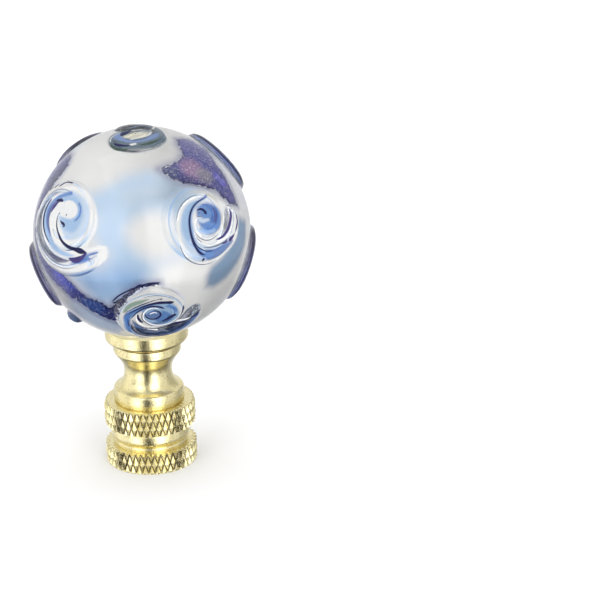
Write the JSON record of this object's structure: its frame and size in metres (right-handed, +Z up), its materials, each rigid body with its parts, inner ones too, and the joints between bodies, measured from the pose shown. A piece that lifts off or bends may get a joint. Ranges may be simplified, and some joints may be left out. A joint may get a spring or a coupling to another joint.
{
  "type": "lamp shade finial",
  "caption": "Ball finial for a lamp harp: a clear and blue glass ball with raised swirls on a knurled brass base with a threaded bore.",
  "frame": {"origin": "on the finial's axis, at the lip of its underside", "axes": "+Z up along the axis, from the threaded bore to the top swirl; -Y is the front that the picture shows"},
  "size_m": [0.0313, 0.0311, 0.0493],
  "materials": {
    "satin_brass": "satin turned and knurled brass",
    "blue_swirl_glass": "polished clear glass with blue, white and violet lustre patches and swirls"
  },
  "bodies": {
    "root": {"brass_base": "satin_brass", "seat_collar": "satin_brass", "glass_ball": "blue_swirl_glass"}
  },
  "joints": []
}
